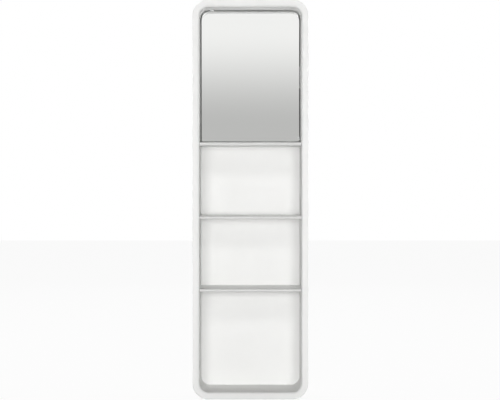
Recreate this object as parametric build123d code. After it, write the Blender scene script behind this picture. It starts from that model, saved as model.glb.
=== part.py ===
from build123d import *
import os

# Wall-hung bathroom cabinet with an inset mirror door above three open compartments.
# Millimetres. X runs to the right, Y runs back to the wall, Z runs up.
# The origin lies on the wall plane, midway between the two upper wall fixings.

# Overall size
WIDTH = 290.0
HEIGHT = 1000.0
DEPTH = 150.0

# Outer casing
CASING_WALL = 13.5
CASING_CORNER_RADIUS = 40.0
CASING_FRONT_ROUND = 2.0
CASING_REAR_CHAMFER = 0.8
CREASE_CHAMFER = 0.4

# Inner liner, bonded into the casing
LINER_WALL = 4.0
LINER_LIP_FLAT = 0.6
BOND_GAP = 0.1

# Back panel, bonded into its rebate
BACK_THICKNESS = 8.0
REBATE_WIDTH = 8.5
REBATE_CLEARANCE = 0.2

# Wall fixings: slots below the casing's top, round holes above the upper shelf
FIXING_DROP = 75.0
FIXING_SPACING = 170.0
SLOT_LENGTH = 16.0
SLOT_WIDTH = 6.4
LOWER_FIXING_LIFT = 45.0
LOWER_FIXING_RADIUS = 2.75

# Shelves, tops measured up from the bottom of the casing
SHELF_SETBACK = 8.0
SHELF_END_GAP = 0.3
SHELF_LEVELS = {"upper": 645.0, "middle": 459.5, "lower": 276.5}
SHELF_THICKNESSES = {"upper": 9.5, "middle": 7.5, "lower": 7.5}

# Stopped housings: grooves in the liner, open at the rear, that carry the shelf ends
HOUSING_DEPTH = 2.0
HOUSING_CLEARANCE = 0.2
HOUSING_FRONT_INSET = 26.0

# Mirror door, in front of the hidden storage
STORAGE_DEPTH = 48.0
DOOR_GAP = 2.5
GLASS_THICKNESS = 4.0
GLASS_EDGE_BEVEL = 0.8
DOOR_FOOT_RADIUS = 1.5
TAPE_THICKNESS = 0.8
TAPE_WIDTH = 25.0
TAPE_END_INSET = 28.0
DOOR_PANEL_THICKNESS = 9.0
DOOR_PANEL_INSET = 0.5
DOOR_PANEL_CHAMFER = 0.8

# Pivots at the door's lower and upper edge, near its left side
PIVOT_INSET = 27.0
PIVOT_PIN_RADIUS = 2.0
PIVOT_CLEARANCE = 0.05
PIN_SEAT_CLEARANCE = 0.02
PIN_REACH = 12.0
PIN_TIP_CHAMFER = 0.5
PIN_TIP_GAP = 1.0
BUSH_RADIUS = 3.4
BUSH_LENGTH = 14.0
BUSH_FLANGE_RADIUS = 4.4
THRUST_GAP = 0.1
PIVOT_PLATE_WIDTH = 12.0
PIVOT_PLATE_THICKNESS = 1.0
PIVOT_PLATE_FRONT = 8.0
PIVOT_PLATE_REAR = 28.0
PIVOT_SCREW_OFFSETS = (12.0, 22.0)

# Magnetic catch on the right wall, and the strike plate that meets it
CATCH_WIDTH = 14.0
CATCH_DEPTH = 14.0
CATCH_BODY_HEIGHT = 32.0
CATCH_ROUND = 2.0
CATCH_EAR_HEIGHT = 12.0
CATCH_EAR_THICKNESS = 3.0
CATCH_EAR_ROUND = 4.0
STRIKE_GAP = 0.3
POLE_PROUD = 0.5
POLE_THICKNESS = 1.0
MAGNET_WIDTH = 5.0
MAGNET_HEIGHT = 24.0
MAGNET_DEPTH = 9.0
STACK_CLEARANCE = 0.1
STRIKE_WIDTH = 12.0
STRIKE_HEIGHT = 44.0
STRIKE_THICKNESS = 1.2
STRIKE_SCREW_OFFSET = 17.0

# Pull tab, bonded to the door's free edge
PULL_HEIGHT = 10.0
PULL_LIFT = 4.0
PULL_THICKNESS = 1.2
PULL_BEAD_RADIUS = 1.6
PULL_PROJECTION = 3.0
PULL_REAR_INSET = 1.0
PULL_CORNER = 2.0

# Countersunk screws: shank radius, head radius, head depth
PIVOT_SCREW = (1.2, 2.3, 0.95)
STRIKE_SCREW = (1.2, 2.3, 1.1)
CATCH_SCREW = (1.3, 2.5, 1.8)
SCREW_CLEARANCE = 0.06
SCREW_TIP_COVER = 0.5
BOARD_BITE = 6.0

# Shared details: the cut corners of the metal plates, and how far a cut runs past a face
PLATE_CORNER = 2.0
OVERSHOOT = 1.0

# Levels, faces and depths worked out from the sizes above
FRONT_Y = -DEPTH
TOP_Z = FIXING_DROP
BOTTOM_Z = TOP_Z - HEIGHT
MID_Z = (TOP_Z + BOTTOM_Z) / 2
FRAME_FACE = CASING_WALL + LINER_WALL
LINER_LIP_ROUND = LINER_WALL - LINER_LIP_FLAT
BAY_HALF_WIDTH = WIDTH / 2 - FRAME_FACE
BAY_TOP_Z = TOP_Z - FRAME_FACE
BAY_FLOOR_Z = BOTTOM_Z + SHELF_LEVELS["upper"]
BAY_RADIUS = CASING_CORNER_RADIUS - FRAME_FACE
BACK_FACE_Y = -BACK_THICKNESS
DOOR_BACK_Y = BACK_FACE_Y - STORAGE_DEPTH
DOOR_PANEL_FRONT_Y = DOOR_BACK_Y - DOOR_PANEL_THICKNESS
GLASS_BACK_Y = DOOR_PANEL_FRONT_Y - TAPE_THICKNESS
MIRROR_Y = GLASS_BACK_Y - GLASS_THICKNESS
DOOR_HALF_WIDTH = BAY_HALF_WIDTH - DOOR_GAP
DOOR_TOP_Z = BAY_TOP_Z - DOOR_GAP
DOOR_BOTTOM_Z = BAY_FLOOR_Z + DOOR_GAP
DOOR_TOP_RADIUS = BAY_RADIUS - DOOR_GAP
PIVOT_X = -DOOR_HALF_WIDTH + PIVOT_INSET
PIVOT_Y = DOOR_BACK_Y - DOOR_PANEL_THICKNESS / 2
CATCH_X = BAY_HALF_WIDTH - CATCH_WIDTH / 2
CATCH_Z = (DOOR_TOP_Z + DOOR_BOTTOM_Z) / 2
STRIKE_Y = DOOR_BACK_Y + STRIKE_THICKNESS
POLE_FACE_Y = STRIKE_Y + STRIKE_GAP
CATCH_FRONT_Y = POLE_FACE_Y + POLE_PROUD
CATCH_SCREW_Y = CATCH_FRONT_Y + CATCH_DEPTH / 2
MAGNET_REAR_Y = CATCH_FRONT_Y + MAGNET_DEPTH
LINER_BITE = LINER_WALL - SCREW_TIP_COVER

# Each pivot: the fixed face that carries it, the way its pin points, how deep its screws bite
PIVOTS = {"lower": (BAY_FLOOR_Z, 1, BOARD_BITE), "upper": (BAY_TOP_Z, -1, LINER_BITE)}


def front_plane(x, y, z):
    """A sketch plane at the point, seen from the front, whose extrusions run forward."""
    return Plane(origin=(x, y, z), x_dir=(1, 0, 0), z_dir=(0, -1, 0))


def side_plane(x, y, z):
    """A sketch plane at the point, whose local x runs back and whose extrusions run right."""
    return Plane(origin=(x, y, z), x_dir=(0, 1, 0), z_dir=(1, 0, 0))


def block(x0, x1, y0, y1, z0, z1):
    """A plain block between two corners."""
    middle = Pos((x0 + x1) / 2, (y0 + y1) / 2, (z0 + z1) / 2)
    return middle * Box(abs(x1 - x0), abs(y1 - y0), abs(z1 - z0))


def rounded_slab(width, height, radius, front_y, rear_y):
    """A slab centred on the cabinet, with rounded corners as seen from the front."""
    outline = front_plane(0, rear_y, MID_Z) * RectangleRounded(width, height, radius)
    return extrude(outline, amount=rear_y - front_y)


def rod(start, direction, radius, length):
    """A round bar from a start point along a direction."""
    return extrude(Plane(origin=start, z_dir=direction) * Circle(radius), amount=length)


def countersunk(start, direction, screw, length, clearance=0.0):
    """A countersunk screw, or the hole for one, whose flat head starts at a point."""
    shank_radius, head_radius, head_depth = screw
    shank = shank_radius + clearance
    tip = length + clearance
    profile = Polyline((0, 0), (head_radius + clearance, 0), (shank, head_depth), (shank, tip), (0, tip), close=True)
    turned = revolve(Plane.XZ * make_face(profile), axis=Axis.Z)
    return Plane(origin=start, z_dir=direction) * turned


def pilot(mouth, direction, screw, depth):
    """The straight hole that a screw's shank bites into, below a face."""
    start = Vector(*mouth) - Vector(*direction) * OVERSHOOT
    return rod(start, direction, screw[0] + SCREW_CLEARANCE, OVERSHOOT + depth + SCREW_CLEARANCE)


def save(shape, node):
    """Write one named piece."""
    export_step(shape, f"parts/{node}.step")


def group(solids):
    """Several like pieces that share a node."""
    return Compound(children=list(solids))


def mirrored_x(solid):
    """The left-hand twin of a right-hand solid."""
    return mirror(solid, about=Plane.YZ)


# Places that more than one piece shares


def pivot_screw_points():
    """Centres of the two screws of one pivot plate, behind the door."""
    return [(PIVOT_X, PIVOT_Y + offset) for offset in PIVOT_SCREW_OFFSETS]


def catch_screw_levels():
    """Heights of the two catch screws, in the middle of the ears."""
    offset = (CATCH_BODY_HEIGHT + CATCH_EAR_HEIGHT) / 2
    return [CATCH_Z - offset, CATCH_Z + offset]


def strike_screw_levels():
    """Heights of the two strike plate screws."""
    return [CATCH_Z - STRIKE_SCREW_OFFSET, CATCH_Z + STRIKE_SCREW_OFFSET]


def shelf_top_z(name):
    """Height of one shelf's top face."""
    return BOTTOM_Z + SHELF_LEVELS[name]


# Shell


def outer_casing():
    """One continuous shell with rounded corners and a rebate for the back panel."""
    shell = rounded_slab(WIDTH, HEIGHT, CASING_CORNER_RADIUS, FRONT_Y, 0)
    shell = fillet(shell.faces().sort_by(Axis.Y)[0].edges(), CASING_FRONT_ROUND)
    shell = chamfer(shell.faces().sort_by(Axis.Y)[-1].edges(), CASING_REAR_CHAMFER)
    inner_width = WIDTH - 2 * CASING_WALL
    inner_height = HEIGHT - 2 * CASING_WALL
    inner_radius = CASING_CORNER_RADIUS - CASING_WALL
    shell -= rounded_slab(inner_width, inner_height, inner_radius, FRONT_Y - OVERSHOOT, OVERSHOOT)
    front_face = shell.faces().sort_by(Axis.Y)[0]
    shell = chamfer(front_face.inner_wires()[0].edges(), CREASE_CHAMFER)
    rebate_width = inner_width + 2 * REBATE_WIDTH
    rebate_height = inner_height + 2 * REBATE_WIDTH
    rebate_radius = inner_radius + REBATE_WIDTH
    return shell - rounded_slab(rebate_width, rebate_height, rebate_radius, BACK_FACE_Y, OVERSHOOT)


def shelf_housing(name):
    """The groove in the liner's right wall that carries one shelf's end."""
    top_z = shelf_top_z(name)
    return block(
        BAY_HALF_WIDTH - OVERSHOOT, BAY_HALF_WIDTH + HOUSING_DEPTH,
        FRONT_Y + HOUSING_FRONT_INSET, BACK_FACE_Y + OVERSHOOT,
        top_z - SHELF_THICKNESSES[name], top_z + HOUSING_CLEARANCE,
    )


def inner_liner():
    """The thin band inside the casing: a rounded lip in front, grooves for the shelves inside."""
    outer_inset = CASING_WALL + BOND_GAP
    band = rounded_slab(
        WIDTH - 2 * outer_inset, HEIGHT - 2 * outer_inset, CASING_CORNER_RADIUS - outer_inset, FRONT_Y, BACK_FACE_Y
    )
    band -= rounded_slab(
        2 * BAY_HALF_WIDTH, HEIGHT - 2 * FRAME_FACE, BAY_RADIUS, FRONT_Y - OVERSHOOT, BACK_FACE_Y + OVERSHOOT
    )
    front_face = band.faces().sort_by(Axis.Y)[0]
    band = fillet(front_face.inner_wires()[0].edges(), LINER_LIP_ROUND)
    for name in SHELF_LEVELS:
        groove = shelf_housing(name)
        band -= groove
        band -= mirrored_x(groove)
    for z in catch_screw_levels():
        band -= pilot((BAY_HALF_WIDTH, CATCH_SCREW_Y, z), (1, 0, 0), CATCH_SCREW, LINER_BITE)
    for x, y in pivot_screw_points():
        band -= pilot((x, y, BAY_TOP_Z), (0, 0, 1), PIVOT_SCREW, LINER_BITE)
    return band


def back_panel():
    """The panel in the rebate, slotted for the wall screws behind the mirror."""
    edge_inset = CASING_WALL - REBATE_WIDTH + REBATE_CLEARANCE
    panel = rounded_slab(
        WIDTH - 2 * edge_inset, HEIGHT - 2 * edge_inset, CASING_CORNER_RADIUS - edge_inset, BACK_FACE_Y, 0
    )
    cut_length = BACK_THICKNESS + 2 * OVERSHOOT
    for side in (-1, 1):
        fixing_x = side * FIXING_SPACING / 2
        slot = front_plane(fixing_x, OVERSHOOT, 0) * SlotOverall(SLOT_LENGTH, SLOT_WIDTH)
        panel -= extrude(slot, amount=cut_length)
        lower = (fixing_x, OVERSHOOT, BAY_FLOOR_Z + LOWER_FIXING_LIFT)
        panel -= rod(lower, (0, -1, 0), LOWER_FIXING_RADIUS, cut_length)
    return panel


# Shelves


def shelf(name):
    """A thin shelf with a round nose, notched at its front corners to hide the housings."""
    thickness = SHELF_THICKNESSES[name]
    top_z = shelf_top_z(name)
    half_length = BAY_HALF_WIDTH + HOUSING_DEPTH - HOUSING_CLEARANCE
    nose_y = FRONT_Y + SHELF_SETBACK + thickness / 2
    rear_y = BACK_FACE_Y - SHELF_END_GAP
    profile = Pos((nose_y + rear_y) / 2, 0) * Rectangle(rear_y - nose_y, thickness)
    profile += Pos(nose_y, 0) * Circle(thickness / 2)
    board = extrude(side_plane(-half_length, 0, top_z - thickness / 2) * profile, amount=2 * half_length)
    notch = block(
        BAY_HALF_WIDTH - SHELF_END_GAP, half_length + OVERSHOOT,
        FRONT_Y, FRONT_Y + HOUSING_FRONT_INSET + HOUSING_CLEARANCE,
        top_z - thickness - OVERSHOOT, top_z + OVERSHOOT,
    )
    board -= notch
    board -= mirrored_x(notch)
    if name == "upper":
        for x, y in pivot_screw_points():
            board -= pilot((x, y, BAY_FLOOR_Z), (0, 0, -1), PIVOT_SCREW, BOARD_BITE)
    return board


# Mirror door


def door_outline(inset, rear_y):
    """The door's outline: round top corners that follow the liner, nearly square feet."""
    half_width = DOOR_HALF_WIDTH - inset
    low_z = DOOR_BOTTOM_Z + inset
    high_z = DOOR_TOP_Z - inset
    shape = front_plane(0, rear_y, (low_z + high_z) / 2) * Rectangle(2 * half_width, high_z - low_z)
    shape = fillet(shape.vertices().group_by(Axis.Z)[-1], DOOR_TOP_RADIUS - inset)
    return fillet(shape.vertices().group_by(Axis.Z)[0], DOOR_FOOT_RADIUS)


def mirror_glass():
    """The silvered glass, with a bevelled front edge."""
    glass = extrude(door_outline(0, GLASS_BACK_Y), amount=GLASS_THICKNESS)
    return chamfer(glass.faces().sort_by(Axis.Y)[0].edges(), GLASS_EDGE_BEVEL)


def mirror_tape():
    """Three strips that bond the glass to its panel."""
    low_z = DOOR_BOTTOM_Z + TAPE_END_INSET
    high_z = DOOR_TOP_Z - TAPE_END_INSET
    side_x = DOOR_HALF_WIDTH - TAPE_WIDTH
    return group(
        block(x - TAPE_WIDTH / 2, x + TAPE_WIDTH / 2, GLASS_BACK_Y, DOOR_PANEL_FRONT_Y, low_z, high_z)
        for x in (-side_x, 0, side_x)
    )


def door_panel():
    """The rigid panel behind the glass, bored for the pivot bushes and the strike screws."""
    panel = extrude(door_outline(DOOR_PANEL_INSET, DOOR_BACK_Y), amount=DOOR_PANEL_THICKNESS)
    panel = chamfer(panel.faces().sort_by(Axis.Y)[-1].edges(), DOOR_PANEL_CHAMFER)
    for z in strike_screw_levels():
        panel -= pilot((CATCH_X, DOOR_BACK_Y, z), (0, -1, 0), STRIKE_SCREW, BOARD_BITE)
    for face_z, up, _ in PIVOTS.values():
        start = (PIVOT_X, PIVOT_Y, face_z + up * DOOR_GAP)
        panel -= rod(start, (0, 0, up), BUSH_RADIUS, DOOR_PANEL_INSET + BUSH_LENGTH)
    return panel


# Pivots


def pivot_plate(face_z, up):
    """A thin plate on the shelf or the ceiling that carries one pin, screwed down behind the door."""
    plate = block(
        PIVOT_X - PIVOT_PLATE_WIDTH / 2, PIVOT_X + PIVOT_PLATE_WIDTH / 2,
        PIVOT_Y - PIVOT_PLATE_FRONT, PIVOT_Y + PIVOT_PLATE_REAR,
        face_z, face_z + up * PIVOT_PLATE_THICKNESS,
    )
    plate = chamfer(plate.edges().filter_by(Axis.Z), PLATE_CORNER)
    seat_radius = PIVOT_PIN_RADIUS + PIN_SEAT_CLEARANCE
    plate -= rod((PIVOT_X, PIVOT_Y, face_z), (0, 0, up), seat_radius, PIVOT_PLATE_THICKNESS)
    for x, y in pivot_screw_points():
        head = (x, y, face_z + up * PIVOT_PLATE_THICKNESS)
        plate -= countersunk(head, (0, 0, -up), PIVOT_SCREW, PIVOT_PLATE_THICKNESS, SCREW_CLEARANCE)
    return plate


def pivot_pin(face_z, up):
    """The pin that stands in the plate and turns in the door's bush."""
    length = DOOR_GAP + DOOR_PANEL_INSET + PIN_REACH
    pin = rod((PIVOT_X, PIVOT_Y, face_z), (0, 0, up), PIVOT_PIN_RADIUS, length)
    tip = pin.faces().sort_by(Axis.Z)[-1 if up > 0 else 0]
    return chamfer(tip.edges(), PIN_TIP_CHAMFER)


def pivot_bush(face_z, up):
    """The flanged bush in the door panel's edge, whose flange rides on the pivot plate."""
    edge_z = face_z + up * (DOOR_GAP + DOOR_PANEL_INSET)
    flange_z = face_z + up * (PIVOT_PLATE_THICKNESS + THRUST_GAP)
    flange_thickness = abs(edge_z - flange_z)
    bore_length = flange_thickness + PIN_REACH + PIN_TIP_GAP
    bush = rod((PIVOT_X, PIVOT_Y, edge_z), (0, 0, up), BUSH_RADIUS - PIN_SEAT_CLEARANCE, BUSH_LENGTH)
    bush += rod((PIVOT_X, PIVOT_Y, flange_z), (0, 0, up), BUSH_FLANGE_RADIUS, flange_thickness)
    return bush - rod((PIVOT_X, PIVOT_Y, flange_z), (0, 0, up), PIVOT_PIN_RADIUS + PIVOT_CLEARANCE, bore_length)


def pivot_plate_screws():
    """The screws of both pivot plates."""
    screws = []
    for face_z, up, bite in PIVOTS.values():
        for x, y in pivot_screw_points():
            head = (x, y, face_z + up * PIVOT_PLATE_THICKNESS)
            screws.append(countersunk(head, (0, 0, -up), PIVOT_SCREW, PIVOT_PLATE_THICKNESS + bite))
    return group(screws)


# Magnetic catch


def catch_pocket():
    """The space in the housing for the magnet between its two pole plates."""
    half_width = MAGNET_WIDTH / 2 + POLE_THICKNESS + STACK_CLEARANCE
    half_height = MAGNET_HEIGHT / 2 + STACK_CLEARANCE
    return block(
        CATCH_X - half_width, CATCH_X + half_width, CATCH_FRONT_Y - OVERSHOOT, MAGNET_REAR_Y + STACK_CLEARANCE,
        CATCH_Z - half_height, CATCH_Z + half_height,
    )


def catch_housing():
    """The moulded housing on the right wall, pocketed for the magnet, with a screw ear at each end."""
    rear_y = CATCH_FRONT_Y + CATCH_DEPTH
    half_height = CATCH_BODY_HEIGHT / 2
    body = block(
        BAY_HALF_WIDTH - CATCH_WIDTH, BAY_HALF_WIDTH, CATCH_FRONT_Y, rear_y,
        CATCH_Z - half_height, CATCH_Z + half_height,
    )
    body = fillet(body.edges().filter_by(Axis.Y).group_by(Axis.X)[0], CATCH_ROUND)
    ear_reach = half_height + CATCH_EAR_HEIGHT
    ears = block(
        BAY_HALF_WIDTH - CATCH_EAR_THICKNESS, BAY_HALF_WIDTH, CATCH_FRONT_Y, rear_y,
        CATCH_Z - ear_reach, CATCH_Z + ear_reach,
    )
    ears = fillet(ears.edges().filter_by(Axis.X), CATCH_EAR_ROUND)
    housing = body + ears - catch_pocket()
    for z in catch_screw_levels():
        head = (BAY_HALF_WIDTH - CATCH_EAR_THICKNESS, CATCH_SCREW_Y, z)
        housing -= countersunk(head, (1, 0, 0), CATCH_SCREW, CATCH_EAR_THICKNESS, SCREW_CLEARANCE)
    return housing


def catch_magnet():
    """The magnet block."""
    return block(
        CATCH_X - MAGNET_WIDTH / 2, CATCH_X + MAGNET_WIDTH / 2, CATCH_FRONT_Y, MAGNET_REAR_Y,
        CATCH_Z - MAGNET_HEIGHT / 2, CATCH_Z + MAGNET_HEIGHT / 2,
    )


def catch_pole_plates():
    """The two steel plates beside the magnet, whose proud edges face the strike plate."""
    plates = []
    for side in (-1, 1):
        inner_x = CATCH_X + side * MAGNET_WIDTH / 2
        plates.append(
            block(
                inner_x, inner_x + side * POLE_THICKNESS, POLE_FACE_Y, MAGNET_REAR_Y,
                CATCH_Z - MAGNET_HEIGHT / 2, CATCH_Z + MAGNET_HEIGHT / 2,
            )
        )
    return group(plates)


def catch_screws():
    """The two screws of the catch housing."""
    head_x = BAY_HALF_WIDTH - CATCH_EAR_THICKNESS
    length = CATCH_EAR_THICKNESS + LINER_BITE
    return group(countersunk((head_x, CATCH_SCREW_Y, z), (1, 0, 0), CATCH_SCREW, length) for z in catch_screw_levels())


def strike_plate():
    """The steel plate on the back of the door, which the magnet holds."""
    plate = block(
        CATCH_X - STRIKE_WIDTH / 2, CATCH_X + STRIKE_WIDTH / 2, DOOR_BACK_Y, STRIKE_Y,
        CATCH_Z - STRIKE_HEIGHT / 2, CATCH_Z + STRIKE_HEIGHT / 2,
    )
    plate = chamfer(plate.edges().filter_by(Axis.Y), PLATE_CORNER)
    for z in strike_screw_levels():
        plate -= countersunk((CATCH_X, STRIKE_Y, z), (0, -1, 0), STRIKE_SCREW, STRIKE_THICKNESS, SCREW_CLEARANCE)
    return plate


def strike_screws():
    """The two screws of the strike plate."""
    length = STRIKE_THICKNESS + BOARD_BITE
    return group(countersunk((CATCH_X, STRIKE_Y, z), (0, -1, 0), STRIKE_SCREW, length) for z in strike_screw_levels())


# Pull tab


def door_pull():
    """A steel strip along the door's free edge, rolled into a bead in front of the glass."""
    inner_x = DOOR_HALF_WIDTH + BOND_GAP
    outer_x = inner_x + PULL_THICKNESS
    bead_y = MIRROR_Y - PULL_PROJECTION
    low_z = DOOR_BOTTOM_Z + PULL_LIFT
    strip = block(inner_x, outer_x, bead_y, DOOR_BACK_Y - PULL_REAR_INSET, low_z, low_z + PULL_HEIGHT)
    strip = fillet(strip.edges().filter_by(Axis.X).group_by(Axis.Y)[-1], PULL_CORNER)
    return strip + rod((outer_x - PULL_BEAD_RADIUS, bead_y, low_z), (0, 0, 1), PULL_BEAD_RADIUS, PULL_HEIGHT)


os.makedirs("parts", exist_ok=True)

save(outer_casing(), "outer_casing")
save(inner_liner(), "inner_liner")
save(back_panel(), "back_panel")
for level in SHELF_LEVELS:
    save(shelf(level), f"shelf_{level}")
save(mirror_glass(), "mirror_glass")
save(mirror_tape(), "mirror_tape")
save(door_panel(), "door_panel")
for place, (face_z, up, _) in PIVOTS.items():
    save(pivot_plate(face_z, up), f"pivot_plate_{place}")
    save(pivot_pin(face_z, up), f"pivot_pin_{place}")
    save(pivot_bush(face_z, up), f"pivot_bush_{place}")
save(pivot_plate_screws(), "pivot_plate_screws")
save(catch_housing(), "catch_housing")
save(catch_magnet(), "catch_magnet")
save(catch_pole_plates(), "catch_pole_plates")
save(catch_screws(), "catch_screws")
save(strike_plate(), "strike_plate")
save(strike_screws(), "strike_screws")
save(door_pull(), "door_pull")
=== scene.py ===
"""Looks for a tall bathroom cabinet: a lacquered shell, thin shelves and a mirror door on hidden pivots."""

import logging
import math
from dataclasses import dataclass, field
from enum import Enum
from typing import Sequence

import bmesh
import bpy
from mathutils import Matrix, Vector


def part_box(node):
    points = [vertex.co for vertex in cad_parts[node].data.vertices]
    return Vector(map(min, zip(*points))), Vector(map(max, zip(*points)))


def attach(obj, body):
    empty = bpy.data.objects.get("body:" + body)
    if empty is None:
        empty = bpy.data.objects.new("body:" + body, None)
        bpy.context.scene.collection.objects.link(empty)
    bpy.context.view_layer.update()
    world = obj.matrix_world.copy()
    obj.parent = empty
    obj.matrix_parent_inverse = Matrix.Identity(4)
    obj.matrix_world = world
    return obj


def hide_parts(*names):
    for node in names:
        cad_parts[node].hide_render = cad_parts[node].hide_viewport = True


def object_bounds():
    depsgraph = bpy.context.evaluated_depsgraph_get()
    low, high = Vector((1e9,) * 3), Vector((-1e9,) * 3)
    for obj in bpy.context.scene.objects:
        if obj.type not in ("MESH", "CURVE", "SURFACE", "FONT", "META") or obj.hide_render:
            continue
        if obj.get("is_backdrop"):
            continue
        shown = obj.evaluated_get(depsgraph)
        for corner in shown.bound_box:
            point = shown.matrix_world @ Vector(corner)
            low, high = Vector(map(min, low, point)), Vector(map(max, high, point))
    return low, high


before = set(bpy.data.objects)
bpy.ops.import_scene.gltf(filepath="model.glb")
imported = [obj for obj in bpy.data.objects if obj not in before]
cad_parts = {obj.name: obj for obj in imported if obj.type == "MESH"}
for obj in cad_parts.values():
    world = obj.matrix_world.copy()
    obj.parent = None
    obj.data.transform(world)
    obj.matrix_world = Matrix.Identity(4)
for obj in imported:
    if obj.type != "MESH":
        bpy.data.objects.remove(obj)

LOG = logging.getLogger("cabinet")
MM = 0.001
FLOOR_GAP = 0.3 * MM  # keeps the floor from lying in the plane of the cabinet's base
SMOOTH_ANGLE = math.radians(28)  # edges that turn further than this stay sharp
NOISE_MIDDLE = 0.5
CLOUD_BAND = (0.35, 0.7)  # the noise levels between which each effect comes in
SCRATCH_BAND = (0.3, 0.7)
FLECK_BAND = (0.5, 0.68)
WEAR_BAND = (0.4, 0.62)
LEAST_WEAR = 0.25  # the share of wear that is left where a rubbed edge is broken
FACE_MATCH, EDGE_MATCH = 0.99, 0.8  # how the softened normal matches the true one, off an edge and on it
COAT_PATCHES = 45.0  # patches of gloss per metre, on lacquer
BODY_PATCHES = 260.0  # the same, on a moulded body
FINE_ROUGH = 0.6  # how strong the finer layers of a grain are
Rgb = tuple[float, float, float]
Point = tuple[float, float, float]
WHITE: Rgb = (1.0, 1.0, 1.0)


class Body(Enum):
    """The two bodies that pieces ride on."""

    CABINET = "cabinet"
    DOOR = "mirror_door"


class Effect(Enum):
    """The shared surface effects, each a shader node group."""

    SPRAYED = "sprayed_coat"
    RUBBED = "rubbed_edge"
    BRUSHED = "brushed_grain"
    SPECKLED = "speckled_body"


@dataclass
class Graph:
    """A node tree under construction.

    Args:
        tree: the tree that nodes are added to.
    """

    tree: bpy.types.NodeTree

    def add(self, kind: str, inputs: dict | None = None, **settings: object) -> bpy.types.Node:
        """Adds one node.

        Args:
            kind: the node's type name.
            inputs: sockets to feed, by name or index, with a value or another node's output.
            settings: plain properties of the node.

        Returns:
            The new node.
        """
        node = self.tree.nodes.new(kind)
        for name, value in settings.items():
            setattr(node, name, value)
        for key, value in (inputs or {}).items():
            self.feed(node, key, value)
        return node

    def feed(self, node: bpy.types.Node, key: str | int, value: object) -> None:
        """Links an output into a socket, or sets the socket's own value.

        Args:
            node: the node that takes the value.
            key: the socket's name or index.
            value: a node socket, a number, a colour or a vector.
        """
        socket = node.inputs[key]
        if isinstance(value, bpy.types.NodeSocket):
            self.tree.links.new(value, socket)
        elif isinstance(value, tuple) and socket.type == "RGBA":
            socket.default_value = (*value[:3], 1.0)
        else:
            socket.default_value = value

    def sum(self, operation: str, first: object, second: object = 0.0, clamp: bool = False) -> bpy.types.NodeSocket:
        """A Math node.

        Args:
            operation: the Math operation's name.
            first: the first value or socket.
            second: the second value or socket.
            clamp: whether the result is kept between 0 and 1.

        Returns:
            The result's socket.
        """
        return self.add("ShaderNodeMath", {0: first, 1: second}, operation=operation, use_clamp=clamp).outputs[0]

    def blend(self, share: object, first: object, second: object) -> bpy.types.NodeSocket:
        """A colour between two others.

        Args:
            share: how much of the second colour shows, from 0 to 1.
            first: the colour at 0.
            second: the colour at 1.

        Returns:
            The colour's socket.
        """
        return self.add("ShaderNodeMix", {0: share, 6: first, 7: second}, data_type="RGBA").outputs[2]

    def remap(self, value: object, low: float, high: float, to_low: object, to_high: object) -> bpy.types.NodeSocket:
        """A value carried from one range to another, without going past its ends.

        Args:
            value: the value or socket to carry over.
            low: the value that becomes to_low.
            high: the value that becomes to_high.
            to_low: the lower result.
            to_high: the upper result.

        Returns:
            The result's socket.
        """
        return self.add("ShaderNodeMapRange", {0: value, 1: low, 2: high, 3: to_low, 4: to_high}).outputs[0]

    def noise(self, where: object, scale: object, detail: float = 2.0, rough: float = 0.5) -> bpy.types.NodeSocket:
        """Soft noise over the surface.

        Args:
            where: the coordinates' socket.
            scale: patches per metre.
            detail: how many finer layers are added.
            rough: how strong the finer layers are.

        Returns:
            The noise value's socket, from 0 to 1.
        """
        inputs = {"Vector": where, "Scale": scale, "Detail": detail, "Roughness": rough}
        return self.add("ShaderNodeTexNoise", inputs).outputs[0]

    def place(self) -> bpy.types.NodeSocket:
        """The surface's place in the piece's own coordinates, in metres."""
        return self.add("ShaderNodeTexCoord").outputs["Object"]


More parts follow.
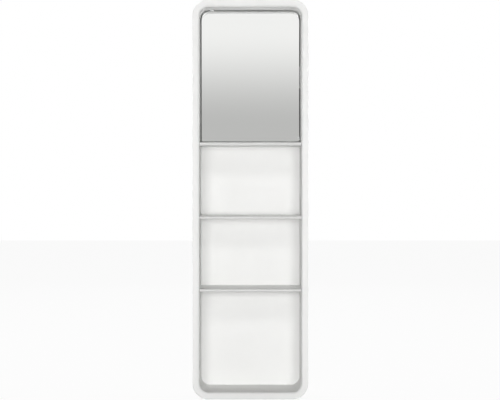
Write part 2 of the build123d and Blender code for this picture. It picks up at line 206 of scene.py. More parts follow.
@dataclass
class EffectShelf:
    """Builds each shared effect once and hands it out.

    Args:
        made: the groups built so far.
    """

    made: dict[Effect, bpy.types.NodeTree] = field(default_factory=dict)

    def get(self, effect: Effect) -> bpy.types.NodeTree:
        """One effect's node group.

        Args:
            effect: which effect.

        Returns:
            The group, built on first use.
        """
        if effect not in self.made:
            builders = {
                Effect.SPRAYED: self.sprayed_coat,
                Effect.RUBBED: self.rubbed_edge,
                Effect.BRUSHED: self.brushed_grain,
                Effect.SPECKLED: self.speckled_body,
            }
            self.made[effect] = builders[effect]()
        return self.made[effect]

    @staticmethod
    def open_group(
        effect: Effect, inputs: Sequence[tuple[str, str, object]], outputs: Sequence[tuple[str, str]]
    ) -> tuple[Graph, bpy.types.Node, bpy.types.Node]:
        """Starts a group with named sockets.

        Args:
            effect: the effect that the group makes.
            inputs: each input's name, socket kind and default.
            outputs: each output's name and socket kind.

        Returns:
            The group's graph, its input node and its output node.
        """
        tree = bpy.data.node_groups.new(effect.value, "ShaderNodeTree")
        for label, kind, value in inputs:
            socket = tree.interface.new_socket(name=label, in_out="INPUT", socket_type="NodeSocket" + kind)
            socket.default_value = (*value, 1.0) if kind == "Color" else value
        for label, kind in outputs:
            tree.interface.new_socket(name=label, in_out="OUTPUT", socket_type="NodeSocket" + kind)
        graph = Graph(tree)
        return graph, graph.add("NodeGroupInput"), graph.add("NodeGroupOutput")

    def sprayed_coat(self) -> bpy.types.NodeTree:
        """A sprayed lacquer: faint clouding, a soft change of gloss and an orange-peel height."""
        graph, given, out = self.open_group(
            Effect.SPRAYED,
            [
                ("Tone", "Color", (0.8, 0.8, 0.8)), ("Cloud Tone", "Color", (0.75, 0.75, 0.75)),
                ("Cloud Scale", "Float", 9.0), ("Peel Scale", "Float", 600.0),
                ("Gloss", "Float", 0.4), ("Gloss Spread", "Float", 0.05),
            ],
            [("Color", "Color"), ("Roughness", "Float"), ("Height", "Float")],
        )
        where = graph.place()
        clouds = graph.noise(where, given.outputs["Cloud Scale"], detail=3.0)
        share = graph.remap(clouds, *CLOUD_BAND, 0.0, 1.0)
        patches = graph.sum("SUBTRACT", graph.noise(where, COAT_PATCHES, detail=4.0), NOISE_MIDDLE)
        spread = graph.sum("MULTIPLY", patches, given.outputs["Gloss Spread"])
        peel = graph.noise(where, given.outputs["Peel Scale"], detail=1.0)
        graph.feed(out, "Color", graph.blend(share, given.outputs["Tone"], given.outputs["Cloud Tone"]))
        graph.feed(out, "Roughness", graph.sum("ADD", given.outputs["Gloss"], spread))
        graph.feed(out, "Height", peel)
        return graph.tree

    def rubbed_edge(self) -> bpy.types.NodeTree:
        """Where hands and cloths rub: a broken band along the edges."""
        graph, given, out = self.open_group(
            Effect.RUBBED,
            [("Reach", "Float", 0.001), ("Break Scale", "Float", 120.0), ("Amount", "Float", 0.5)],
            [("Mask", "Float")],
        )
        softened = graph.add("ShaderNodeBevel", {"Radius": given.outputs["Reach"]}, samples=4).outputs[0]
        normal = graph.add("ShaderNodeNewGeometry").outputs["Normal"]
        facing = graph.add("ShaderNodeVectorMath", {0: softened, 1: normal}, operation="DOT_PRODUCT").outputs["Value"]
        edge = graph.remap(facing, FACE_MATCH, EDGE_MATCH, 0.0, 1.0)
        patches = graph.noise(graph.place(), given.outputs["Break Scale"], detail=4.0)
        broken = graph.remap(patches, *WEAR_BAND, LEAST_WEAR, 1.0)
        worn = graph.sum("MULTIPLY", edge, broken)
        graph.feed(out, "Mask", graph.sum("MULTIPLY", worn, given.outputs["Amount"], clamp=True))
        return graph.tree

    def brushed_grain(self) -> bpy.types.NodeTree:
        """Fine parallel scratches on metal, drawn out along one direction."""
        graph, given, out = self.open_group(
            Effect.BRUSHED,
            [
                ("Tone", "Color", (0.6, 0.6, 0.6)), ("Scratch Tone", "Color", (0.45, 0.45, 0.45)),
                ("Stretch", "Vector", (1.0, 1.0, 0.05)), ("Grain Scale", "Float", 2500.0),
                ("Gloss", "Float", 0.3), ("Gloss Spread", "Float", 0.2),
            ],
            [("Color", "Color"), ("Roughness", "Float"), ("Height", "Float")],
        )
        factors = {0: graph.place(), 1: given.outputs["Stretch"]}
        drawn = graph.add("ShaderNodeVectorMath", factors, operation="MULTIPLY").outputs[0]
        grain = graph.noise(drawn, given.outputs["Grain Scale"], detail=3.0, rough=FINE_ROUGH)
        share = graph.remap(grain, *SCRATCH_BAND, 0.0, 1.0)
        wander = graph.sum("SUBTRACT", grain, NOISE_MIDDLE)
        spread = graph.sum("MULTIPLY", wander, given.outputs["Gloss Spread"])
        graph.feed(out, "Color", graph.blend(share, given.outputs["Tone"], given.outputs["Scratch Tone"]))
        graph.feed(out, "Roughness", graph.sum("ADD", given.outputs["Gloss"], spread))
        graph.feed(out, "Height", grain)
        return graph.tree

    def speckled_body(self) -> bpy.types.NodeTree:
        """A moulded, foamed or sintered body: flecks in the colour and a grain in the surface."""
        graph, given, out = self.open_group(
            Effect.SPECKLED,
            [
                ("Tone", "Color", (0.7, 0.7, 0.7)), ("Fleck Tone", "Color", (0.5, 0.5, 0.5)),
                ("Fleck Scale", "Float", 1500.0), ("Fleck Share", "Float", 0.3),
                ("Gloss", "Float", 0.5), ("Gloss Spread", "Float", 0.1),
            ],
            [("Color", "Color"), ("Roughness", "Float"), ("Height", "Float")],
        )
        where = graph.place()
        grain = graph.noise(where, given.outputs["Fleck Scale"], detail=3.0, rough=FINE_ROUGH)
        flecks = graph.remap(grain, *FLECK_BAND, 0.0, given.outputs["Fleck Share"])
        patches = graph.sum("SUBTRACT", graph.noise(where, BODY_PATCHES, detail=3.0), NOISE_MIDDLE)
        spread = graph.sum("MULTIPLY", patches, given.outputs["Gloss Spread"])
        graph.feed(out, "Color", graph.blend(flecks, given.outputs["Tone"], given.outputs["Fleck Tone"]))
        graph.feed(out, "Roughness", graph.sum("ADD", given.outputs["Gloss"], spread))
        graph.feed(out, "Height", grain)
        return graph.tree


@dataclass(frozen=True)
class Finish:
    """A surface finish made from one shared effect on a Principled shader.

    Args:
        name: the material's name.
        effect: the shared effect that varies the surface.
        tone: the main colour.
        second_tone: the colour of clouds, scratches or flecks.
        gloss: the middle roughness.
        gloss_spread: how far the roughness wanders.
        scale: the size of the effect's finest grain, in patches per metre.
        second: a coat's cloud scale, or a moulded body's share of flecks.
        stretch: how brushed grain is drawn out.
        height: the grain's height in metres.
        metal: whether the surface is bare metal.
        specular: the shader's specular level.
        edge_tone: the colour that rubbed edges take.
        edge_reach: how far a rubbed edge reaches, in metres.
        edge_amount: how strongly the edges are rubbed.
    """

    name: str
    effect: Effect
    tone: Rgb
    second_tone: Rgb
    gloss: float
    gloss_spread: float
    scale: float
    second: float = 0.3
    stretch: Point = (1.0, 1.0, 0.05)
    height: float = 4e-6
    metal: bool = False
    specular: float = 0.5
    edge_tone: Rgb = (0.8, 0.8, 0.79)
    edge_reach: float = 0.0008
    edge_amount: float = 0.3

    def effect_inputs(self) -> dict[str, object]:
        """The values that this finish gives its effect, by socket name."""
        shared = {"Tone": self.tone, "Gloss": self.gloss, "Gloss Spread": self.gloss_spread}
        own = {
            Effect.SPRAYED: {"Cloud Tone": self.second_tone, "Cloud Scale": self.second, "Peel Scale": self.scale},
            Effect.BRUSHED: {"Scratch Tone": self.second_tone, "Stretch": self.stretch, "Grain Scale": self.scale},
            Effect.SPECKLED: {"Fleck Tone": self.second_tone, "Fleck Share": self.second, "Fleck Scale": self.scale},
        }
        return shared | own[self.effect]

    def build(self, shelf: EffectShelf) -> bpy.types.Material:
        """Makes the material.

        Args:
            shelf: where the shared effects come from.

        Returns:
            The new material.
        """
        material = bpy.data.materials.new(self.name)
        material.use_nodes = True
        graph = Graph(material.node_tree)
        shader = material.node_tree.nodes["Principled BSDF"]
        body = graph.add("ShaderNodeGroup", node_tree=shelf.get(self.effect))
        for key, value in self.effect_inputs().items():
            graph.feed(body, key, value)
        rubbed = graph.add("ShaderNodeGroup", node_tree=shelf.get(Effect.RUBBED))
        graph.feed(rubbed, "Reach", self.edge_reach)
        graph.feed(rubbed, "Amount", self.edge_amount)
        color = graph.blend(rubbed.outputs["Mask"], body.outputs["Color"], self.edge_tone)
        bump = graph.add("ShaderNodeBump", {"Distance": self.height, "Height": body.outputs["Height"]})
        graph.feed(shader, "Base Color", color)
        graph.feed(shader, "Roughness", body.outputs["Roughness"])
        graph.feed(shader, "Normal", bump.outputs[0])
        graph.feed(shader, "Metallic", 1.0 if self.metal else 0.0)
        graph.feed(shader, "Specular IOR Level", self.specular)
        return material


@dataclass(frozen=True)
class FinishBook:
    """Every finish of the cabinet."""

    # The casing, liner, back sheet and shelves are one white lacquer; their tones differ only by painted light and
    # shade.
    casing: Finish = Finish(
        "white_casing_lacquer", Effect.SPRAYED, (0.87, 0.87, 0.86), (0.855, 0.855, 0.843),
        gloss=0.45, gloss_spread=0.08, scale=620.0, second=7.0, height=8e-6, specular=0.4,
    )
    # The liner's tone is darker than the casing's: painted shade.
    liner: Finish = Finish(
        "white_liner_lacquer_painted_shade", Effect.SPRAYED, (0.82, 0.82, 0.81), (0.805, 0.805, 0.793),
        gloss=0.56, gloss_spread=0.08, scale=560.0, second=8.0, height=8e-6, specular=0.12,
    )
    # The back sheet's tone is lighter than the casing's: painted light.
    back: Finish = Finish(
        "white_back_sheet_painted_light", Effect.SPRAYED, (0.91, 0.91, 0.9), (0.895, 0.895, 0.883),
        gloss=0.52, gloss_spread=0.07, scale=480.0, second=5.0, height=5e-6, specular=0.35,
    )
    # The shelves' greyer tone is painted shade on the same white lacquer as the casing.
    shelf: Finish = Finish(
        "white_shelf_lacquer_painted_shade", Effect.SPRAYED, (0.72, 0.72, 0.71), (0.705, 0.705, 0.693),
        gloss=0.35, gloss_spread=0.08, scale=600.0, second=12.0, height=8e-6, specular=0.4,
    )
    silver: Finish = Finish(
        "silvered_glass", Effect.SPRAYED, (0.94, 0.945, 0.942), (0.935, 0.94, 0.938),
        gloss=0.012, gloss_spread=0.012, scale=30.0, second=4.0, height=2e-7, metal=True,
        edge_tone=(0.9, 0.93, 0.91), edge_reach=0.0004, edge_amount=0.2,
    )
    glass_edge: Finish = Finish(
        "ground_glass_edge", Effect.SPRAYED, (0.42, 0.58, 0.5), (0.3, 0.48, 0.4),
        gloss=0.22, gloss_spread=0.15, scale=1800.0, second=160.0, height=6e-6,
        edge_tone=(0.75, 0.85, 0.8), edge_amount=0.4,
    )
    mirror_paint: Finish = Finish(
        "grey_mirror_paint", Effect.SPECKLED, (0.3, 0.32, 0.33), (0.24, 0.26, 0.27),
        gloss=0.5, gloss_spread=0.15, scale=1400.0, second=0.5,
    )
    tape: Finish = Finish(
        "grey_foam_tape", Effect.SPECKLED, (0.16, 0.16, 0.165), (0.07, 0.07, 0.07),
        gloss=0.85, gloss_spread=0.1, scale=2600.0, second=0.7, height=6e-5, specular=0.2,
    )
    board: Finish = Finish(
        "white_door_board", Effect.SPECKLED, (0.8, 0.798, 0.785), (0.74, 0.735, 0.72),
        gloss=0.5, gloss_spread=0.1, scale=900.0, second=0.5, height=1e-5, specular=0.4,
        edge_tone=(0.68, 0.67, 0.64), edge_amount=0.5,
    )
    steel: Finish = Finish(
        "zinc_plated_steel", Effect.BRUSHED, (0.62, 0.63, 0.64), (0.47, 0.48, 0.49),
        gloss=0.3, gloss_spread=0.2, scale=3200.0, stretch=(1.0, 0.08, 1.0), height=3e-6, metal=True,
        edge_tone=(0.75, 0.76, 0.77), edge_reach=0.0003, edge_amount=0.6,
    )
    turned: Finish = Finish(
        "turned_steel", Effect.BRUSHED, (0.6, 0.61, 0.62), (0.45, 0.46, 0.47),
        gloss=0.2, gloss_spread=0.15, scale=3600.0, stretch=(0.1, 0.1, 1.0), height=3e-6, metal=True,
        edge_tone=(0.72, 0.73, 0.74), edge_reach=0.0003, edge_amount=0.5,
    )
    pull: Finish = Finish(
        "satin_steel_pull", Effect.BRUSHED, (0.56, 0.565, 0.57), (0.46, 0.465, 0.47),
        gloss=0.28, gloss_spread=0.12, scale=2400.0, stretch=(1.0, 1.0, 0.1), height=2e-6, metal=True,
        edge_tone=(0.68, 0.685, 0.69), edge_reach=0.0003, edge_amount=0.4,
    )
    nylon: Finish = Finish(
        "natural_nylon", Effect.SPECKLED, (0.72, 0.71, 0.66), (0.66, 0.65, 0.6),
        gloss=0.45, gloss_spread=0.1, scale=2200.0, second=0.4, height=4e-6,
    )
    catch: Finish = Finish(
        "moulded_catch_plastic", Effect.SPECKLED, (0.8, 0.8, 0.79), (0.75, 0.75, 0.74),
        gloss=0.42, gloss_spread=0.1, scale=1900.0, second=0.4, height=1e-5,
    )
    ferrite: Finish = Finish(
        "black_ferrite", Effect.SPECKLED, (0.03, 0.03, 0.032), (0.07, 0.07, 0.075),
        gloss=0.6, gloss_spread=0.2, scale=2400.0, second=0.8, height=2e-5,
        edge_tone=(0.12, 0.12, 0.12), edge_reach=0.0003, edge_amount=0.6,
    )


@dataclass
class Wardrobe:
    """Hands out materials, each made on first use.

    Args:
        shelf: where the shared effects come from.
        made: the materials made so far, by name.
    """

    shelf: EffectShelf = field(default_factory=EffectShelf)
    made: dict[str, bpy.types.Material] = field(default_factory=dict)

    def get(self, finish: Finish) -> bpy.types.Material:
        """One finish's material.

        Args:
            finish: the finish.

        Returns:
            Its material.
        """
        if finish.name not in self.made:
            self.made[finish.name] = finish.build(self.shelf)
        return self.made[finish.name]

    def dress(self, node: str, finish: Finish, slot: str) -> None:
        """Gives a kept node its finish.

        Args:
            node: the node's name.
            finish: the finish it gets.
            slot: the record's slot for it, which is not used.
        """
        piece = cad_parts[node]
        piece.data.materials.clear()
        piece.data.materials.append(self.get(finish))
        LOG.info("%s: %s", node, finish.name)


def new_piece(name: str, mesh: bmesh.types.BMesh, materials: Sequence[bpy.types.Material]) -> bpy.types.Object:
    """Turns finished geometry into an object, shaded smooth across its curves.

    Args:
        name: the piece's name.
        mesh: its geometry, which is freed.
        materials: its material slots.

    Returns:
        The new object.
    """
    data = bpy.data.meshes.new(name)
    mesh.to_mesh(data)
    mesh.free()
    for material in materials:
        data.materials.append(material)
    data.polygons.foreach_set("use_smooth", [True] * len(data.polygons))
    data.set_sharp_from_angle(angle=SMOOTH_ANGLE)
    piece = bpy.data.objects.new(name, data)
    bpy.context.scene.collection.objects.link(piece)
    return piece


@dataclass
class Shell:
    """The casing, its liner and the back panel."""

    def dress(self, wardrobe: Wardrobe, book: FinishBook) -> None:
        """Finishes the three pieces.

        Args:
            wardrobe: where materials come from.
            book: the finishes.
        """
        wardrobe.dress("outer_casing", book.casing, "casing")
        wardrobe.dress("inner_liner", book.liner, "liner")
        wardrobe.dress("back_panel", book.back, "back_panel")


@dataclass
class Shelves:
    """The three shelves.

    Args:
        levels: the shelves' names, from the top down.
    """

    levels: tuple[str, ...] = ("upper", "middle", "lower")

    def dress(self, wardrobe: Wardrobe, book: FinishBook) -> None:
        """Finishes each shelf.

        Args:
            wardrobe: where materials come from.
            book: the finishes.
        """
        for level in self.levels:
            wardrobe.dress(f"shelf_{level}", book.shelf, "shelf")


@dataclass
class CrossHeadScrew:
    """A countersunk screw with a cross recess.

    Args:
        head_radius: the head's radius in metres.
        shank_radius: the shank's radius in metres.
        head_depth: the cone's depth in metres.
        length: the whole length in metres.
        sides: how many sides its circles have.
        wing_share: the cross's reach, as a share of the head's radius.
        slot_share: half the width of the cross's slots, as a share of the same.
        recess_share: the recess's depth, as a share of the head's.
        recess_taper: how much of its size the cross keeps at the recess's foot.
        thread_share: where along the length the point begins.
        tip_share: the tip's radius, as a share of the shank's.
    """

    head_radius: float
    shank_radius: float
    head_depth: float
    length: float
    sides: int = 32
    wing_share: float = 0.62
    slot_share: float = 0.13
    recess_share: float = 0.75
    recess_taper: float = 0.55
    thread_share: float = 0.86
    tip_share: float = 0.25

    def build(self) -> bmesh.types.BMesh:
        """Makes the screw with its head's face at the origin, pointing down its own Z.

        Returns:
            The screw's geometry.
        """
        mesh = bmesh.new()
        wing, half_wide = self.wing_share * self.head_radius, self.slot_share * self.head_radius
        recess_depth, taper = self.recess_share * self.head_depth, self.recess_taper
        cross = [
            (wing, half_wide), (half_wide, half_wide), (half_wide, wing), (-half_wide, wing),
            (-half_wide, half_wide), (-wing, half_wide), (-wing, -half_wide), (-half_wide, -half_wide),
            (-half_wide, -wing), (half_wide, -wing), (half_wide, -half_wide), (wing, -half_wide),
        ]
        mouth = [mesh.verts.new((x, y, 0.0)) for x, y in cross]
        foot = [mesh.verts.new((taper * x, taper * y, -recess_depth)) for x, y in cross]
        for index in range(len(cross)):
            following = (index + 1) % len(cross)
            mesh.faces.new((mouth[index], mouth[following], foot[following], foot[index]))
        mesh.faces.new(foot)
        rings = []
        profile = [
            (self.head_radius, 0.0),
            (self.shank_radius, -self.head_depth),
            (self.shank_radius, -self.thread_share * self.length),
            (self.tip_share * self.shank_radius, -self.length),
        ]
        for radius, level in profile:
            angles = [2 * math.pi * step / self.sides for step in range(self.sides)]
            rings.append([mesh.verts.new((radius * math.cos(a), radius * math.sin(a), level)) for a in angles])
        for upper, lower in zip(rings, rings[1:]):
            for index in range(self.sides):
                following = (index + 1) % self.sides
                mesh.faces.new((upper[index], lower[index], lower[following], upper[following]))
        mesh.faces.new(list(reversed(rings[-1])))
        edges = [mesh.edges.get((mouth[i], mouth[(i + 1) % len(mouth)])) for i in range(len(mouth))]
        edges += [mesh.edges.get((rings[0][i], rings[0][(i + 1) % self.sides])) for i in range(self.sides)]
        bmesh.ops.triangle_fill(mesh, use_beauty=True, edges=edges, normal=(0, 0, 1))
        bmesh.ops.recalc_face_normals(mesh, faces=mesh.faces)
        return mesh


@dataclass
class ScrewSet:
    """The screws of one node, rebuilt with driver recesses.

    Args:
        node: the node that they stand for.
        screw: the screw's form.
        heads: each head's centre, the way that its shank points, and its turn in radians.
        body: the body they ride on.
    """

    node: str
    screw: CrossHeadScrew
    heads: list[tuple[Point, Point, float]]
    body: Body

    def build(self, wardrobe: Wardrobe, book: FinishBook) -> None:
        """Makes the screws as one piece.

        Args:
            wardrobe: where materials come from.
            book: the finishes.
        """
        joined = bmesh.new()
        for centre, direction, turn in self.heads:
            single = self.screw.build()
            facing = Vector(direction).to_track_quat("-Z", "Y").to_matrix().to_4x4()
            spin = Matrix.Rotation(turn, 4, "Z")
            bmesh.ops.transform(single, matrix=Matrix.Translation(centre) @ facing @ spin, verts=single.verts)
            data = bpy.data.meshes.new("one_screw")
            single.to_mesh(data)
            single.free()
            joined.from_mesh(data)
            bpy.data.meshes.remove(data)
        piece = new_piece(self.node.replace("_screws", "_cross_screws"), joined, [wardrobe.get(book.turned)])
        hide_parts(self.node)
        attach(piece, self.body.value)
        LOG.info("%s: %d screws", piece.name, len(self.heads))


@dataclass
class Pivots:
    """The plates, pins and bushes that the door turns on.

    Args:
        ends: the two ends' names.
        screw: the plate screws' form.
        lower_turn: how far the lower plate's first screw is turned, in radians.
        upper_turn: the same for the upper plate.
    """

    ends: tuple[str, ...] = ("lower", "upper")
    screw: CrossHeadScrew = field(
        default_factory=lambda: CrossHeadScrew(2.3 * MM, 1.2 * MM, 0.95 * MM, 4.5 * MM)
    )
    lower_turn: float = 0.3
    upper_turn: float = 0.8

    def dress(self, wardrobe: Wardrobe, book: FinishBook) -> None:
        """Finishes the kept nodes and rebuilds the plate screws.

        Args:
            wardrobe: where materials come from.
            book: the finishes.
        """
        for end in self.ends:
            wardrobe.dress(f"pivot_plate_{end}", book.steel, "steel")
            wardrobe.dress(f"pivot_pin_{end}", book.turned, "steel")
            wardrobe.dress(f"pivot_bush_{end}", book.nylon, "bush")
        low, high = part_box("pivot_plate_screws")
        radius = self.screw.head_radius
        middle_x = (low.x + high.x) / 2
        floor_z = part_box("pivot_plate_lower")[1].z
        ceiling_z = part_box("pivot_plate_upper")[0].z
        heads = []
        for number, y in enumerate((low.y + radius, high.y - radius)):
            heads.append(((middle_x, y, floor_z), (0, 0, -1), self.lower_turn + number))
            heads.append(((middle_x, y, ceiling_z), (0, 0, 1), self.upper_turn + number))
        ScrewSet("pivot_plate_screws", self.screw, heads, Body.CABINET).build(wardrobe, book)


@dataclass
class MagneticCatch:
    """The catch on the wall and the strike plate on the door.

    Args:
        catch_screw: the housing screws' form.
        strike_screw: the strike plate screws' form.
        catch_turn: how far a housing screw turns for each metre of height, so that no two stand alike.
        strike_turn: the same for the strike plate's screws.
    """

    catch_screw: CrossHeadScrew = field(
        default_factory=lambda: CrossHeadScrew(2.5 * MM, 1.3 * MM, 1.8 * MM, 6.5 * MM)
    )
    strike_screw: CrossHeadScrew = field(
        default_factory=lambda: CrossHeadScrew(2.3 * MM, 1.2 * MM, 1.1 * MM, 7.2 * MM)
    )
    catch_turn: float = 90.0
    strike_turn: float = 70.0

    def dress(self, wardrobe: Wardrobe, book: FinishBook) -> None:
        """Finishes the kept nodes and rebuilds both sets of screws.

        Args:
            wardrobe: where materials come from.
            book: the finishes.
        """
        wardrobe.dress("catch_housing", book.catch, "catch")
        wardrobe.dress("catch_magnet", book.ferrite, "magnet")
        wardrobe.dress("catch_pole_plates", book.steel, "steel")
        wardrobe.dress("strike_plate", book.steel, "steel")
        low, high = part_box("catch_screws")
        radius = self.catch_screw.head_radius
        middle_y = (low.y + high.y) / 2
        places = (low.z + radius, high.z - radius)
        heads = [((low.x, middle_y, z), (1, 0, 0), z * self.catch_turn) for z in places]
        ScrewSet("catch_screws", self.catch_screw, heads, Body.CABINET).build(wardrobe, book)
        low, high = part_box("strike_screws")
        radius = self.strike_screw.head_radius
        middle_x = (low.x + high.x) / 2
        places = (low.z + radius, high.z - radius)
        heads = [((middle_x, high.y, z), (0, -1, 0), z * self.strike_turn) for z in places]
        ScrewSet("strike_screws", self.strike_screw, heads, Body.DOOR).build(wardrobe, book)


@dataclass
class MirrorDoor:
    """The mirror glass, its panel and what is fixed to them.

    Args:
        top_radius: the glass's round top corners, in metres.
        foot_radius: its nearly square lower corners.
        bevel: the width of the bevelled front edge.
        arris: the small ground edge at the back.
        corner_steps: how many faces go round each corner.
    """

    top_radius: float = 20.0 * MM
    foot_radius: float = 1.5 * MM
    bevel: float = 0.8 * MM
    arris: float = 0.2 * MM
    corner_steps: int = 24

    def outline(self, inset: float) -> list[tuple[float, float]]:
        """The glass's outline seen from the front.

        Args:
            inset: how far the outline is drawn in, in metres.

        Returns:
            Points in x and z, counterclockwise from the lower right corner.
        """
        low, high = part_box("mirror_glass")
        corners = [
            (high.x, low.z, self.foot_radius, -90), (high.x, high.z, self.top_radius, 0),
            (low.x, high.z, self.top_radius, 90), (low.x, low.z, self.foot_radius, 180),
        ]
        points = []
        for x, z, radius, start in corners:
            centre_x = x - math.copysign(radius, x)
            centre_z = z - radius if z == high.z else z + radius
            for step in range(self.corner_steps + 1):
                angle = math.radians(start + 90 * step / self.corner_steps)
                reach = radius - inset
                points.append((centre_x + reach * math.cos(angle), centre_z + reach * math.sin(angle)))
        return points

    def build_glass(self, wardrobe: Wardrobe, book: FinishBook) -> None:
        """Makes the bevelled glass: silvered face and bevel, ground edge, painted back.

        Args:
            wardrobe: where materials come from.
            book: the finishes.
        """
        low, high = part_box("mirror_glass")
        mesh = bmesh.new()
        levels = [
            (self.bevel, low.y), (0.0, low.y + self.bevel), (0.0, high.y - self.arris), (self.arris, high.y),
        ]
        rings = [[mesh.verts.new((x, y, z)) for x, z in self.outline(inset)] for inset, y in levels]
        count = len(rings[0])
        for strip, (near, far) in enumerate(zip(rings, rings[1:])):
            for index in range(count):
                following = (index + 1) % count
                face = mesh.faces.new((near[index], far[index], far[following], near[following]))
                face.material_index = 0 if strip == 0 else 1
        mesh.faces.new(rings[0]).material_index = 0
        mesh.faces.new(list(reversed(rings[-1]))).material_index = 2
        bmesh.ops.recalc_face_normals(mesh, faces=mesh.faces)
        materials = [wardrobe.get(finish) for finish in (book.silver, book.glass_edge, book.mirror_paint)]
        glass = new_piece("bevelled_mirror", mesh, materials)
        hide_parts("mirror_glass")
        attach(glass, Body.DOOR.value)
        LOG.info("%s: %d faces", glass.name, len(glass.data.polygons))

    def dress(self, wardrobe: Wardrobe, book: FinishBook) -> None:
        """Builds the glass and finishes the kept nodes.

        Args:
            wardrobe: where materials come from.
            book: the finishes.
        """
        self.build_glass(wardrobe, book)
        wardrobe.dress("mirror_tape", book.tape, "tape")
        wardrobe.dress("door_panel", book.board, "door_panel")
        wardrobe.dress("door_pull", book.pull, "pull")


@dataclass(frozen=True)
class Softbox:
    """A rectangular soft light.

    Args:
        name: the light's name.
        centre: where it hangs, in metres.
        target: the point it faces.
        width: its width in metres.
        height: its height in metres.
        watts: its power.
        mirrored: whether gloss and mirrors show it.
    """

    name: str
    centre: Point
    target: Point
    width: float
    height: float
    watts: float
    mirrored: bool = True

    def hang(self) -> None:
        """Adds the light to the scene."""
        data = bpy.data.lights.new(self.name, "AREA")
        data.shape = "RECTANGLE"
        data.size = self.width
        data.size_y = self.height
        data.energy = self.watts
        light = bpy.data.objects.new(self.name, data)
        light.location = self.centre
        light.visible_camera = False
        light.visible_glossy = self.mirrored
        light.rotation_euler = (Vector(self.target) - Vector(self.centre)).to_track_quat("-Z", "Y").to_euler()
        bpy.context.scene.collection.objects.link(light)


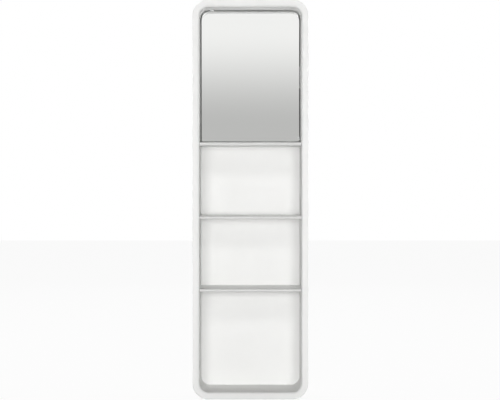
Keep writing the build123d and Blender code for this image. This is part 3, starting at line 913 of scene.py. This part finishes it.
@dataclass
class Studio:
    """The pale floor, the wall that the mirror sees, the lights and the camera.

    Args:
        floor_z: the floor's height in metres.
        floor_half: half the floor's side.
        floor_show: how much of the floor is plain white to the camera, the rest keeping the shadow.
        floor_tones: the two tones that cloud into each other on the floor.
        floor_clouds: how many clouds the floor has per metre.
        world_strength: how strongly the surroundings light the object.
        wall_tint: the wall's colour.
        wall_y: where the wall behind the camera stands.
        wall_low: the wall's brightness low down.
        wall_high: the wall's brightness high up.
        fade: the heights between which it brightens.
        foot_share: how much of that brightness is left at the wall's foot.
        foot_fade: the heights between which the foot darkens.
        eye: the camera's place.
        aim: the point that the camera looks at.
        lens: the focal length in millimetres.
        sensor: the camera's sensor width in millimetres.
        sight: how far the camera sees, in metres.
        lights: the softboxes.
    """

    floor_z: float
    floor_half: float = 9.0
    floor_show: float = 0.95
    floor_tones: tuple[Rgb, Rgb] = ((0.52, 0.52, 0.52), (0.48, 0.48, 0.48))
    floor_clouds: float = 4.0
    world_strength: float = 0.08
    wall_tint: Rgb = (1.0, 1.0, 0.985)
    wall_y: float = -7.0
    wall_low: float = 0.52
    wall_high: float = 0.93
    fade: tuple[float, float] = (0.0, 0.7)
    foot_share: float = 0.65
    foot_fade: tuple[float, float] = (-0.6, -0.1)
    eye: Point = (-0.001, -3.87, -0.364)
    aim: Point = (-0.001, -0.15, -0.425)
    lens: float = 107.1
    sensor: float = 36.0
    sight: float = 100.0
    lights: tuple[Softbox, ...] = (
        Softbox("soft_left", (-0.6, -3.8, -0.32), (0.0, -0.1, -0.4), 0.6, 0.8, 28.0),
        Softbox("soft_right", (0.6, -3.8, -0.32), (0.0, -0.1, -0.4), 0.6, 0.8, 28.0),
        Softbox("soft_front", (0.0, -4.1, -0.45), (0.0, -0.1, -0.4), 0.5, 0.7, 33.0, mirrored=False),
        Softbox("soft_top", (0.0, -4.6, 2.2), (0.0, -0.1, -0.4), 2.0, 0.8, 29.0),
        Softbox("side_left", (-3.0, 1.0, 0.2), (0.0, 0.0, -0.4), 1.6, 2.0, 68.0),
        Softbox("side_right", (3.0, 1.0, 0.2), (0.0, 0.0, -0.4), 1.6, 2.0, 68.0),
        Softbox("rear", (0.0, 3.4, 0.6), (0.0, 0.0, -0.4), 2.0, 2.0, 14.0),
        Softbox("overhead", (0.0, 1.0, 2.6), (0.0, 0.0, 0.0), 1.4, 1.4, 50.0),
    )

    @staticmethod
    def seen_ray(graph: Graph) -> bpy.types.NodeSocket:
        """A mask of the rays that show the backdrop as it is: camera, glossy and transmission.

        Args:
            graph: the tree to work in.

        Returns:
            The mask's socket.
        """
        path = graph.add("ShaderNodeLightPath").outputs
        either = graph.sum("MAXIMUM", path["Is Camera Ray"], path["Is Glossy Ray"])
        return graph.sum("MAXIMUM", either, path["Is Transmission Ray"])

    def lay_floor(self) -> None:
        """The floor under the cabinet, white to the eye but with the cabinet's shadow."""
        material = bpy.data.materials.new("pale_floor")
        material.use_nodes = True
        graph = Graph(material.node_tree)
        graph.tree.nodes.clear()
        clouds = graph.noise(graph.place(), self.floor_clouds, detail=3.0)
        color = graph.blend(clouds, *self.floor_tones)
        matte = graph.add("ShaderNodeBsdfDiffuse", {"Color": color}).outputs[0]
        white = graph.add("ShaderNodeEmission", {"Color": WHITE, "Strength": 1.0}).outputs[0]
        share = graph.sum("MULTIPLY", self.seen_ray(graph), self.floor_show)
        mixed = graph.add("ShaderNodeMixShader", {0: share, 1: matte, 2: white}).outputs[0]
        graph.add("ShaderNodeOutputMaterial", {"Surface": mixed})
        mesh = bmesh.new()
        half = self.floor_half
        corners = [(-half, -half), (half, -half), (half, half), (-half, half)]
        mesh.faces.new([mesh.verts.new((x, y, self.floor_z)) for x, y in corners])
        new_piece("floor", mesh, [material])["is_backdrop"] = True

    def raise_wall(self) -> None:
        """The wall behind the camera, which only reflections show: dimmer low down, brighter high up."""
        material = bpy.data.materials.new("far_wall")
        material.use_nodes = True
        graph = Graph(material.node_tree)
        graph.tree.nodes.clear()
        height = graph.add("ShaderNodeSeparateXYZ", {0: graph.place()}).outputs["Z"]
        fade = {0: height, 1: self.fade[0], 2: self.fade[1], 3: self.wall_low, 4: self.wall_high}
        level = graph.add("ShaderNodeMapRange", fade, interpolation_type="SMOOTHSTEP").outputs[0]
        fade = {0: height, 1: self.foot_fade[0], 2: self.foot_fade[1], 3: self.foot_share, 4: 1.0}
        share = graph.add("ShaderNodeMapRange", fade, interpolation_type="SMOOTHSTEP").outputs[0]
        level = graph.sum("MULTIPLY", level, share)
        glow = graph.add("ShaderNodeEmission", {"Color": self.wall_tint, "Strength": level}).outputs[0]
        graph.add("ShaderNodeOutputMaterial", {"Surface": glow})
        mesh = bmesh.new()
        half = self.floor_half
        corners = [(-half, self.floor_z), (half, self.floor_z), (half, half), (-half, half)]
        mesh.faces.new([mesh.verts.new((x, self.wall_y, z)) for x, z in corners])
        wall = new_piece("far_wall", mesh, [material])
        wall.visible_camera = False
        wall.visible_diffuse = False
        wall.visible_shadow = False
        wall.visible_transmission = False
        wall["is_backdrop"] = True

    def set_world(self) -> None:
        """A white surround, which lights the object less than it shows."""
        world = bpy.data.worlds.new("surround")
        bpy.context.scene.world = world
        world.use_nodes = True
        graph = Graph(world.node_tree)
        graph.tree.nodes.clear()
        level = graph.remap(self.seen_ray(graph), 0.0, 1.0, self.world_strength, 1.0)
        glow = graph.add("ShaderNodeBackground", {"Color": WHITE, "Strength": level}).outputs[0]
        graph.add("ShaderNodeOutputWorld", {"Surface": glow})

    def place_camera(self) -> None:
        """The camera at the photograph's eye level."""
        data = bpy.data.cameras.new("eye")
        data.lens = self.lens
        data.sensor_width = self.sensor
        data.clip_end = self.sight
        camera = bpy.data.objects.new("eye", data)
        camera.location = self.eye
        camera.rotation_euler = (Vector(self.aim) - Vector(self.eye)).to_track_quat("-Z", "Y").to_euler()
        bpy.context.scene.collection.objects.link(camera)
        bpy.context.scene.camera = camera

    def build(self) -> None:
        """Sets the whole studio up."""
        bpy.context.scene.view_settings.view_transform = "Standard"
        self.lay_floor()
        self.raise_wall()
        self.set_world()
        for light in self.lights:
            light.hang()
        self.place_camera()
        LOG.info("studio: %d lights", len(self.lights))


def main() -> None:
    """Builds the cabinet's looks in order, then the studio."""
    logging.basicConfig(level=logging.INFO, format="%(message)s")
    cad_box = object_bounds()
    wardrobe = Wardrobe()
    book = FinishBook()
    for assembly in (Shell(), Shelves(), MirrorDoor(), Pivots(), MagneticCatch()):
        assembly.dress(wardrobe, book)
    Studio(floor_z=cad_box[0].z - FLOOR_GAP).build()


if __name__ == "__main__":
    main()
